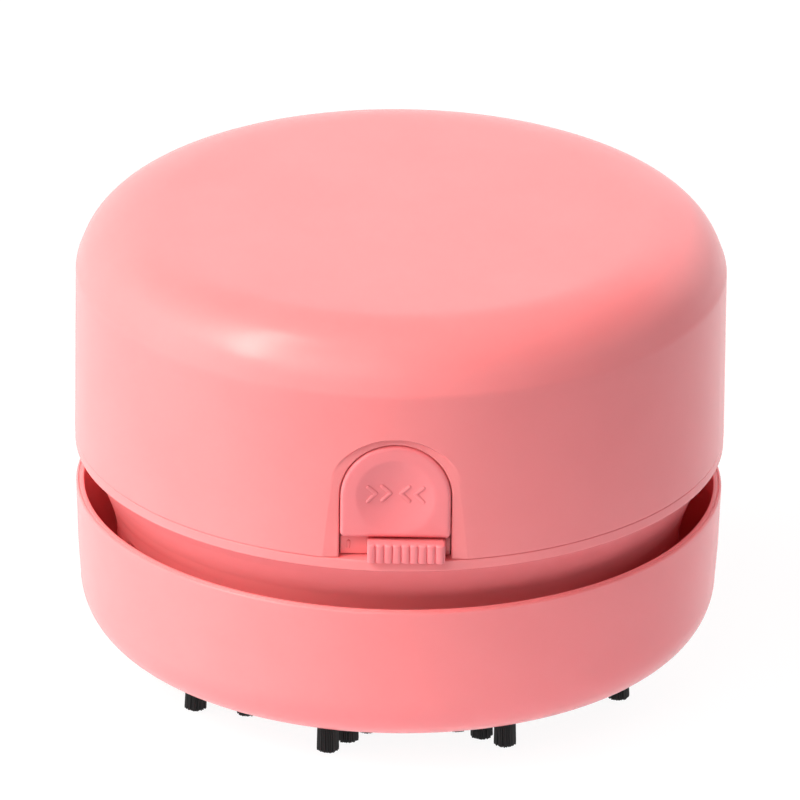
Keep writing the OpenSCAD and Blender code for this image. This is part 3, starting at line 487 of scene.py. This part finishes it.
def makeCover(c):
    outer, inner = coverProfiles(c)
    bottom = c["footRows"]
    rows = bottom + c["wallRows"]
    front = np.linspace(-c["frontHalf"], c["frontHalf"], c["frontColumns"])
    rest = np.linspace(c["frontHalf"], 360 - c["frontHalf"], c["restColumns"])
    side = np.arange(rows + 1)
    # Row and angle of every sample along the patch's border: up the left, over the top, down the right
    rowAt = np.concatenate([side, np.full(len(front) - 2, rows), side[::-1]])
    angleAt = np.concatenate([np.full(rows + 1, front[0]), front[1:-1], np.full(rows + 1, front[-1])])
    count = len(rowAt)
    s = np.arange(count)
    fromFoot = np.minimum(s, count - 1 - s)
    onFoot = fromFoot <= bottom
    share = np.clip((fromFoot - bottom) / ((count - 1) / 2 - bottom), 0, 1)
    sign = np.where(s < count / 2, -1.0, 1.0)
    f = sign * (1 - share)

    # The opening's outline moved outwards by d, at every sample, as x and a place on the profile
    def outlineAt(profile, radius, centre, d):
        x, z = archPoint(f, radius + d, centre, c["foot"] + c["footRound"])
        x = np.where(onFoot | (share == 0), sign * (radius + d), x)
        r = np.where(onFoot, profile[np.minimum(fromFoot, bottom), 0], np.nan)
        zFoot = profile[np.minimum(fromFoot, bottom), 1]
        z = np.where(onFoot, zFoot, z)
        wall = profile[bottom:rows + 1]
        r = np.where(onFoot, r, np.interp(z, wall[:, 1], wall[:, 0]))
        return x, r, z

    # Where the flat ends: its meeting line with the round shell, blended into an arc at the top and
    # shared out over the samples by length
    def flatOutline():
        _, r, z = outlineAt(outer, c["openingRadius"], c["archCentre"], 0)
        centre = c["flatTop"] - c["flatArcRadius"]
        t = np.radians(np.linspace(0, 90, 400))
        zLine = np.concatenate([np.linspace(c["foot"] + c["footRound"], centre, 100)[:-1],
                                centre + c["flatArcRadius"] * np.sin(t)])
        arcX = np.concatenate([np.full(99, c["flatArcRadius"]), c["flatArcRadius"] * np.cos(t)])
        meet = np.sqrt(c["radius"] ** 2 - flatPlane(c, zLine) ** 2)
        p = c["flatBlend"]
        xLine = np.where(zLine < centre, meet, (meet ** -p + np.maximum(arcX, 1e-3) ** -p) ** (-1 / p))
        xLine[-1] = 0
        walk = np.concatenate([[0], np.cumsum(np.hypot(np.diff(xLine), np.diff(zLine)))])
        at = share * walk[-1]
        x = sign * np.interp(at, walk, xLine)
        z = np.where(onFoot, z, np.interp(at, walk, zLine))
        return np.where(share >= 1, 0, x), r, z

    # Points of the flat, set back by the foot's rounding and by back
    def onPlane(x, r, z, back):
        y = flatPlane(c, z) - (c["radius"] - r) - back
        return np.stack([x, -y, z], axis=1)

    def onShell(x, r, z):
        return np.stack([x, -np.sqrt(r ** 2 - x ** 2), z], axis=1)

    e = c["openingRound"] * np.minimum(1, fromFoot / bottom)
    rings = []
    for turn in np.radians(np.linspace(0, 90, 7)):
        x, r, z = outlineAt(outer, c["openingRadius"], c["archCentre"], 0)
        grow = e * (1 - math.cos(turn))
        xg, _, zg = outlineAt(outer, c["openingRadius"], c["archCentre"], 1)
        x, z = x + (xg - x) * grow, z + (zg - z) * grow * ~onFoot
        rings.append(onPlane(x, r, z, e * (1 - math.sin(turn))))
    flatX, flatR, flatZ = flatOutline()
    start = rings[-1]
    for t in (0.08, 0.5, 0.92):
        x, z = start[:, 0] + (flatX - start[:, 0]) * t, start[:, 2] + (flatZ - start[:, 2]) * t
        rings.append(onPlane(x, flatR, z, 0))
    foot = onPlane(flatX, flatR, flatZ, 0)
    away = np.stack([flatX, 0 * flatX, np.maximum(flatZ - c["archCentre"], 0)], axis=1)
    away /= np.linalg.norm(away, axis=1)[:, None]
    topX, topZ = flatX + away[:, 0] * c["stepDraft"], flatZ + away[:, 2] * c["stepDraft"] * ~onFoot
    brow = onShell(topX, flatR, topZ)
    for t in (0, 0.12, 0.5, 0.88, 1):
        rings.append(foot + (brow - foot) * t)
    # From the step's brow out to the patch's border, in angle and height
    browAngle = np.degrees(np.arcsin(topX / flatR))
    edgeR, edgeZ = outer[rowAt, 0], outer[rowAt, 1]
    for t in np.linspace(0, 1, 26)[1:] ** c["crowding"]:
        a = np.radians(browAngle + (angleAt - browAngle) * t)
        r, z = flatR + (edgeR - flatR) * t, topZ + (edgeZ - topZ) * t
        rings.append(np.stack([r * np.sin(a), -r * np.cos(a), z], axis=1))
    patchOut = np.array(rings)
    # The same opening on the inner wall
    x, r, z = outlineAt(inner, c["openingRadius"], c["archCentre"], 0)
    inAngle = np.degrees(np.arcsin(x / r))
    edgeR, edgeZ = inner[rowAt, 0], inner[rowAt, 1]
    rings = []
    for t in np.linspace(0, 1, 16):
        a = np.radians(inAngle + (angleAt - inAngle) * t)
        rr, zz = r + (edgeR - r) * t, z + (edgeZ - z) * t
        rings.append(np.stack([rr * np.sin(a), -rr * np.cos(a), zz], axis=1))
    patchIn = np.array(rings)
    steps = np.linspace(0, 1, 4)[:, None, None]
    lip = patchIn[0][None] * (1 - steps) + patchOut[0][None] * steps
    grids = [turned(outer, rest), turned(outer[rows:], front), patchOut,
             turned(inner, rest), turned(inner[rows:], front), patchIn, lip]
    feet = [np.vstack([patchOut[:, i], patchIn[-2::-1, i], lip[1:-1, i]]) for i in (0, -1)]
    return makePiece("cover_shell", grids, pinkAbs, "cover", ["top_cover"], flats=feet,
                     smooth=35)


makeCover(cover)

low, high = extent("outer_bowl")
bowl = {
    "floor": low[2],
    "rim": high[2],
    "radius": high[0],
    "draft": 0.65,
    "fillet": 7.5,
    "wall": 1.1,
    "innerFillet": 5.5,
    "innerFloorRadius": 35.4,
    "floorThickness": 1.2,
    "holeRadius": 34.4,
    "waist": (0.35, 2.0),  # how far outside the foot and above mid height the wall bulges
    "wallTop": (0.03, 0.9),  # how far inside the rim's radius and below the rim it ends
    "rimRound": 0.3,
    "rimDrop": 0.06,  # how much lower the rim lies outside its fine line
    "landWidth": 0.52,  # flat top of the rim inside that line
    "line": 0.1,
    "edge": 0.18,
    "lipDepth": 0.6,  # how far below the rim the inner wall starts to lean
    "holeRound": 0.1,
}


# A closed line turned round the axis: underside, fillet, drafted wall, rim with its fine line,
# inner wall, inner fillet and floor
def makeBowl(c):
    base, inside = c["radius"] - c["draft"], c["radius"] - c["wall"]
    under, rim, e, g = c["floor"], c["rim"], c["edge"], c["line"]
    fillet, bend, drop = c["fillet"], c["rimRound"], c["rimDrop"]
    groove = inside + e + c["landWidth"]
    upper, hole, h = under + c["floorThickness"], c["holeRadius"] + c["holeRound"], c["holeRound"]
    profile = path(
        [hole, under],
        [base - fillet - 0.3, under],
        arc(base - fillet, under + fillet, fillet, -90, 0, 24),
        [base + c["waist"][0], (under + rim) / 2 + c["waist"][1]],
        [c["radius"] - c["wallTop"][0], rim - c["wallTop"][1]],
        arc(c["radius"] - bend, rim - drop - bend, bend, 0, 90, 8),
        [groove + g, rim - drop],
        arc(groove, rim - drop, g, 0, -180, 6),
        arc(groove - g - drop, rim - drop, drop, 0, 90, 3),
        [inside + e + 0.04, rim],
        arc(inside + e, rim - e, e, 90, 180, 5),
        [inside, rim - c["lipDepth"]],
        arc(c["innerFloorRadius"], upper + c["innerFillet"], c["innerFillet"], 0, -90, 16),
        [hole, upper],
        arc(hole, upper - h, h, 90, 180, 3),
        arc(hole, under + h, h, 180, 270, 3),
    )
    return makePiece("brush_bowl", [turned(profile, np.linspace(0, 360, 193))], pinkAbs, "bowl",
                     ["outer_bowl"], smooth=40)


makeBowl(bowl)

low, high = extent("push_button")
button = {
    "half": 7.22,
    "foot": low[2],
    "archCentre": 41.75,
    "face": -low[1],  # distance of its face in front of the axis
    "edge": 0.55,
    "corner": 0.65,
    "dishRadius": 5.2,
    "dishDepth": 0.9,
    "dishSoft": 0.07,
    "dishRings": 33,
    "dishStart": 12,  # the dish reaches its depth one twelfth of the way in
    "flangeRadius": 8.5,
    "flangeFront": 36.9,
    "flangeBack": -high[1],
    "flangeFoot": 0.05,  # how far it ends above the button's foot
    "flangeCorner": 0.3,
    "flangeEdge": 0.12,
    "pocketRadius": 4.5,  # for the spring
    "pocketFloor": 39.4,
    "pocketEdge": 0.1,
}


# A round-topped outline as pivots, outward directions and radii, so that the point inset by d is
# pivot + direction * (radius - d). It runs from the foot's middle to the right, over the top and back
def outlineOf(half, foot, centre, corner, n=96):
    over = np.radians(np.linspace(0, 180, n))
    turn = np.radians(np.linspace(-90, 0, 9))
    rise = np.linspace(foot + corner, centre, 14)[1:-1]
    run = np.linspace(0, half - corner, 12)[:-1]
    up = np.ones_like(rise)
    pivots = np.vstack([
        np.column_stack([run, np.full_like(run, foot + half)]),
        np.tile([half - corner, foot + corner], (9, 1)),
        np.column_stack([0 * rise, rise]),
        np.tile([0, centre], (n, 1)),
        np.column_stack([0 * rise, rise[::-1]]),
        np.tile([corner - half, foot + corner], (9, 1)),
        np.column_stack([-run[::-1], np.full_like(run, foot + half)]),
    ])
    ways = np.vstack([
        np.tile([0, -1], (len(run), 1)),
        np.column_stack([np.cos(turn), np.sin(turn)]),
        np.column_stack([up, 0 * up]),
        np.column_stack([np.cos(over), np.sin(over)]),
        np.column_stack([-up, 0 * up]),
        np.column_stack([-np.cos(turn[::-1]), np.sin(turn[::-1])]),
        np.tile([0, -1], (len(run), 1)),
    ])
    radii = np.concatenate([np.full(len(run), half), np.full(9, corner), np.full(len(rise), half),
                            np.full(n, half), np.full(len(rise), half), np.full(9, corner),
                            np.full(len(run), half)])
    return pivots, ways, radii


# Depth of the finger dish: a shallow bowl whose rim is softened
def dishAt(c, x, z):
    h = c["dishDepth"] * (1 - (x ** 2 + (z - c["archCentre"]) ** 2) / c["dishRadius"] ** 2)
    return 0.5 * (h + np.sqrt(h ** 2 + c["dishSoft"] ** 2))


# Rings from the spring's pocket over the flange and up the cap's side, then round its edge and in to the
# dish's middle
def makeButton(c):
    cap = outlineOf(c["half"], c["foot"], c["archCentre"], c["corner"])
    wide = outlineOf(c["flangeRadius"], c["foot"] + c["flangeFoot"], c["archCentre"], c["flangeCorner"])
    middle = np.array([0, c["archCentre"]])

    def ring(outline, d, front):
        p = outline[0] + outline[1] * (outline[2] - d)[:, None]
        return np.column_stack([p[:, 0], np.full(len(p), -front), p[:, 1]])

    rings = [ring(cap, c["edge"] * (1 - math.cos(t)), c["face"] - c["edge"] * (1 - math.sin(t)))
             for t in np.radians(np.linspace(0, 90, 9))]
    centre = np.array([0, -c["face"], c["archCentre"]])
    inner = rings[-1]
    for t in np.linspace(0, 1, c["dishRings"] + 1)[1:]:
        p = inner + (centre - inner) * t
        p[:, 1] = -(c["face"] - dishAt(c, p[:, 0], p[:, 2]) * min(1, t * c["dishStart"]))
        rings.append(p)
    out = ring(wide, 0, 0)[:, [0, 2]] - middle
    around = out / np.linalg.norm(out, axis=1)[:, None]

    def circle(radius, front):
        p = middle + around * radius
        return np.column_stack([p[:, 0], np.full(len(p), -front), p[:, 1]])

    front, back, edge = c["flangeFront"], c["flangeBack"], c["flangeEdge"]
    pocket, deep, soft = c["pocketRadius"], c["pocketFloor"], c["pocketEdge"]
    rear = [ring(cap, 0, c["face"] - c["edge"] - 0.3), ring(cap, 0, front), ring(wide, edge, front),
            ring(wide, 0, front - edge), ring(wide, 0, back + edge), ring(wide, edge, back)]
    rear += [circle(pocket + edge, back), circle(pocket, back + edge), circle(pocket, deep - soft),
             circle(pocket - soft, deep), circle(0, deep)]
    rings = rear[::-1] + rings
    return makePiece("button_cap", [np.array(rings)], buttonAbs, "button", ["push_button"],
                     smooth=40)


makeButton(button)

low, high = extent("button_spring")
spring = {
    "wire": 0.5,
    "width": high[0] - low[0],
    "length": high[1] - low[1],
    "seat": -high[1],  # distance of its rear end in front of the axis
    "centre": (low[2] + high[2]) / 2,
    "turns": 6,
    "closed": 0.8,  # turns at each end that lie close
    "travel": 2.0,  # of the button
    "steps": 40,  # a turn
}


# A wire tube round a helix: x = q cos a and z = centre + q sin a, where q goes round the wire, and the
# wire climbs by its own thickness a turn at both ends
def makeSpring(c):
    length, centre, turns = c["length"], c["centre"], c["turns"]
    half, lead, end = c["wire"] / 2, length - c["wire"], c["closed"] * c["wire"]
    wound = np.linspace(0, turns, turns * c["steps"] + 1)
    rise = np.interp(wound, [0, c["closed"], turns - c["closed"], turns], [0, end, lead - end, lead])
    a, b = math.tau * wound[:, None], np.radians(np.linspace(0, 360, 13))[None, :]
    q = c["width"] / 2 - half + half * np.cos(b)
    ahead = c["seat"] + half + rise[:, None] + half * np.sin(b)
    tube = np.stack([q * np.cos(a), -ahead, centre + q * np.sin(a)], axis=2)
    piece = makePiece("spring_coil", [tube], zincSteel, "chassis", ["button_spring"],
                      flats=[tube[0, :-1], tube[-1, :-1]])
    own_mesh(piece)


makeSpring(spring)

# Raised marks: each is a bent stroke given by its corner points as (x, z)
mark = {
    "chevrons": [[(-3.6, 1), (-2.55, 0), (-3.6, -1)], [(-1.75, 1), (-0.7, 0), (-1.75, -1)],
                 [(1.75, 1), (0.7, 0), (1.75, -1)], [(3.6, 1), (2.55, 0), (3.6, -1)]],
    "centre": 42.0,  # height of the chevrons
    "half": 0.27,
    "rise": 0.17,
    "bar": [(-6.1, 33.95), (-6.1, 34.75)],
    "barHalf": 0.22,
    "barRise": 0.2,
    "panel": 40.9,  # distance of the panel in front of the axis
}


# A closed line round a bent stroke as pivots and ways, so that the point at distance d from the stroke
# is pivot + way * d: half circles at the ends, an arc outside each bend and a mitre inside it
def strokeRound(line, n=10):
    line = np.array(line, float)
    pivots, angles, reach = [], [], []
    for points in (line, line[::-1]):
        step = np.diff(points, axis=0)
        head = np.degrees(np.arctan2(step[:, 1], step[:, 0]))
        fan = [(points[0], head[0] + 90, head[0] + 270, n, 1)]
        for i in range(1, len(head)):
            turn = (head[i] - head[i - 1] + 180) % 360 - 180
            if turn > 0:
                fan.append((points[i], head[i - 1] - 90, head[i - 1] - 90 + turn, n, 1))
            else:
                fan.append((points[i], head[i - 1] - 90 + turn / 2, head[i - 1] - 90 + turn / 2, 1,
                            1 / math.cos(math.radians(turn / 2))))
        for pivot, start, stop, count, far in fan:
            pivots.append(np.tile(pivot, (count, 1)))
            angles.append(np.linspace(start, stop, count))
            reach.append(np.full(count, far))
    a, far = np.radians(np.concatenate(angles)), np.concatenate(reach)
    return np.vstack(pivots), np.column_stack([np.cos(a), np.sin(a)]) * far[:, None]


# A rounded ridge over the stroke: at half-width h cos t it stands rise sin t above the surface, and its
# foot lies in the surface by sunk
def strokeGrid(line, half, rise, surface, sunk=0.06):
    pivots, ways = strokeRound(line)
    pivots, ways = np.vstack([pivots, pivots[:1]]), np.vstack([ways, ways[:1]])
    levels = [(0, -sunk), (half, -sunk)]
    levels += [(half * math.cos(t), rise * math.sin(t)) for t in np.radians(np.linspace(0, 90, 7))]
    rings = []
    for d, lift in levels:
        p = pivots + ways * d
        rings.append(np.column_stack([p[:, 0], -surface(p[:, 0], p[:, 1]) - lift, p[:, 1]]))
    return np.array(rings)


def buttonSurface(x, z):
    return button["face"] - dishAt(button, x, z)


chevrons = [[(x, z + mark["centre"]) for x, z in line] for line in mark["chevrons"]]
makePiece("button_mark", [strokeGrid(line, mark["half"], mark["rise"], buttonSurface) for line in chevrons],
          buttonAbs, "button", smooth=60)
bar = strokeGrid(mark["bar"], mark["barHalf"], mark["barRise"], lambda x, z: mark["panel"] + 0 * x)
makePiece("panel_mark", [bar], pinkAbs, "chassis", smooth=60)

low, high = extent("slider_knob")
knob = {
    "left": low[0] - 0.03,
    "right": high[0] - 0.12,
    "foot": low[2],
    "top": high[2],
    "front": 43.8,  # distance of the flats between the ribs in front of the axis
    "back": -high[1],
    "rib": (0.54, 0.3),  # half width and height of a rib
    "ribs": 9,
    "ribPitch": 1.12,
    "corner": 0.25,
    "topRound": 0.3,
    "footRound": 0.18,
}


# The knob seen from above, as points and the way each moves when the outline is inset: half ellipses for
# the ribs, short flats between them, rounded corners
def knobOutline(c):
    points, ways = [], []
    (r, rise), k = c["rib"], c["corner"]
    a = np.radians(np.linspace(180, 360, 17))
    for i in range(c["ribs"]):
        x = c["left"] + r + i * c["ribPitch"]
        if i:
            points.append([[x - r, -c["front"]]])
            ways.append([[1, 1]])
        points.append(np.column_stack([x + r * np.cos(a), -c["front"] + rise * np.sin(a)]))
        ways.append(-np.column_stack([np.cos(a), np.sin(a)]))
        points.append([[x + r, -c["front"]]])
        ways.append([[-1, 1]])
    for x, y, start in ((c["right"] - k, k - c["front"], -90), (c["right"] - k, -c["back"] - k, 0),
                        (c["left"] + k, -c["back"] - k, 90)):
        a = np.radians(np.linspace(start, start + 90, 7))
        points.append(np.column_stack([x + k * np.cos(a), y + k * np.sin(a)]))
        ways.append(-np.column_stack([np.cos(a), np.sin(a)]))
    return np.vstack(points), np.vstack(ways).astype(float)


def makeKnob(c):
    points, ways = knobOutline(c)
    levels = [(c["footRound"] * (1 - math.sin(t)), c["foot"] + c["footRound"] * (1 - math.cos(t)))
              for t in np.radians(np.linspace(0, 90, 5))]
    levels += [(c["topRound"] * (1 - math.cos(t)), c["top"] - c["topRound"] * (1 - math.sin(t)))
               for t in np.radians(np.linspace(0, 90, 8))]
    rings = np.array([np.column_stack([points + ways * d, np.full(len(points), z)]) for d, z in levels])
    walls = np.concatenate([rings, rings[:, :1]], axis=1)
    return makePiece("slide_knob", [walls], buttonAbs, "slider", ["slider_knob"],
                     flats=[rings[0], rings[-1]], smooth=55)


makeKnob(knob)

bristle = {
    "row": {"side": 6.0, "depth": 24.7, "pitch": 3.9, "slope": 43},
    "cluster": {"far": 32.3, "near": 28.0, "spread": 10.3},
    "turn": 5.7,
    "radius": 1.43,  # of a tuft
    "strand": 0.125,  # radius of a strand
    "rings": 5,
    "root": 5.4,  # where a strand leaves its plug
    "plugRadius": 1.46,
    "plugTop": 5.85,
    "plugRound": 0.06,
    "plugDepth": 0.35,  # how far it reaches below the root
    "levels": (0, 0.4, 0.94, 1.0),  # where the rings of a strand stand along it
    "tipThickness": 0.8,  # as a share of the strand
    "tipGap": 0.02,  # between the longest strands and the desk
    "splay": 0.02,  # how much wider a tuft is at its tip, as a share
    "lean": 0.1,  # in millimetres at the tip
    "ragged": 0.1,  # spread of the strands' lengths
    "dome": 0.3,  # how much shorter the outermost strands are
    "seed": 11,
}


# Where the 27 tufts stand, as x and y: three times round, two slanted rows of three and one group of three
def tuftPlaces(c):
    places = []
    row, cluster = c["row"], c["cluster"]
    for k in range(3):
        local = []
        for s in (-1, 1):
            for i in range(3):
                step = i * row["pitch"]
                local.append((s * (row["side"] + step * math.cos(math.radians(row["slope"]))),
                              -row["depth"] - step * math.sin(math.radians(row["slope"])), 0))
        local.append((0, -cluster["far"], 60))
        local += [(0, -cluster["near"], 60 + s * cluster["spread"]) for s in (-1, 1)]
        for x, y, turn in local:
            a = math.radians(c["turn"] + 120 * k + turn)
            places.append((x * math.cos(a) - y * math.sin(a), x * math.sin(a) + y * math.cos(a)))
    return np.array(places)


# Every strand is a six-sided rod with four rings: it leaves its plug at base, leans outwards with the
# square of the way down and ends between the desk and the ragged length
def makeBristles(c):
    rng = np.random.default_rng(c["seed"])
    places = tuftPlaces(c)
    base = [np.zeros((1, 2))]
    for k in range(1, c["rings"] + 1):
        a = np.radians(np.arange(6 * k) * 60 / k + 17 * k)
        base.append(np.column_stack([np.cos(a), np.sin(a)]) * (c["radius"] - c["strand"]) * k / c["rings"])
    base = np.vstack(base)
    count, each = len(places), len(base)
    spin = rng.uniform(0, math.tau, count)
    co, si = np.cos(spin)[:, None], np.sin(spin)[:, None]
    bx, by = base[None, :, 0], base[None, :, 1]
    spread = np.stack([bx * co - by * si, bx * si + by * co], axis=2)
    off = np.linalg.norm(base, axis=1) / c["radius"]
    tip = c["tipGap"] + c["dome"] * off[None, :] ** 3 + rng.uniform(0, c["ragged"], (count, each))
    lean = rng.normal(0, c["lean"] * 0.5, (count, each, 2)) + rng.normal(0, c["lean"], (count, 1, 2))
    s = np.array(c["levels"])
    thick = np.array([1, 1, 1, c["tipThickness"]]) * c["strand"]
    wider = 1 + c["splay"] * s ** 2
    middle = (places[:, None, None, :] + spread[:, :, None, :] * wider[None, None, :, None]
              + lean[:, :, None, :] * (s ** 2)[None, None, :, None])
    z = c["root"] + (tip[:, :, None] - c["root"]) * s
    a = np.radians(np.arange(6) * 60)
    ring = np.stack([np.cos(a), np.sin(a)], axis=1)
    xy = middle[:, :, :, None, :] + ring[None, None, None] * thick[None, None, :, None, None]
    co = np.concatenate([xy, np.broadcast_to(z[..., None, None], (*xy.shape[:-1], 1))], axis=-1)
    strands = count * each
    co = co.reshape(-1, 3)
    level = np.arange(3)[:, None] * 6
    side = np.arange(6)[None, :]
    quad = np.stack([level + side, level + 6 + side, level + 6 + (side + 1) % 6, level + (side + 1) % 6],
                    axis=2)
    start = np.arange(strands)[:, None, None] * 24
    quads = (start + quad.reshape(1, -1, 4)).reshape(-1, 4)
    caps = np.concatenate([np.arange(6), 18 + np.arange(6)[::-1]]).reshape(2, 6)
    ends = (start + caps.reshape(1, 2, 6)).reshape(-1, 6)
    r, e, top, under = c["plugRadius"], c["plugRound"], c["plugTop"], c["root"] - c["plugDepth"]
    profile = path([0, under], [r - e, under], [r, under + e], [r, top], [0, top])
    plug = turned(profile, np.linspace(0, 360, 25))
    plugs = [plug + np.array([x, y, 0]) for x, y in places]
    return makePiece("bristles", plugs, bristleNylon, "bowl", ["bristle_tufts"],
                     extra=(co, [*quads.tolist(), *ends.tolist()]), smooth=40)


makeBristles(bristle)
print("bowl, cover, button, knob and bristles made")
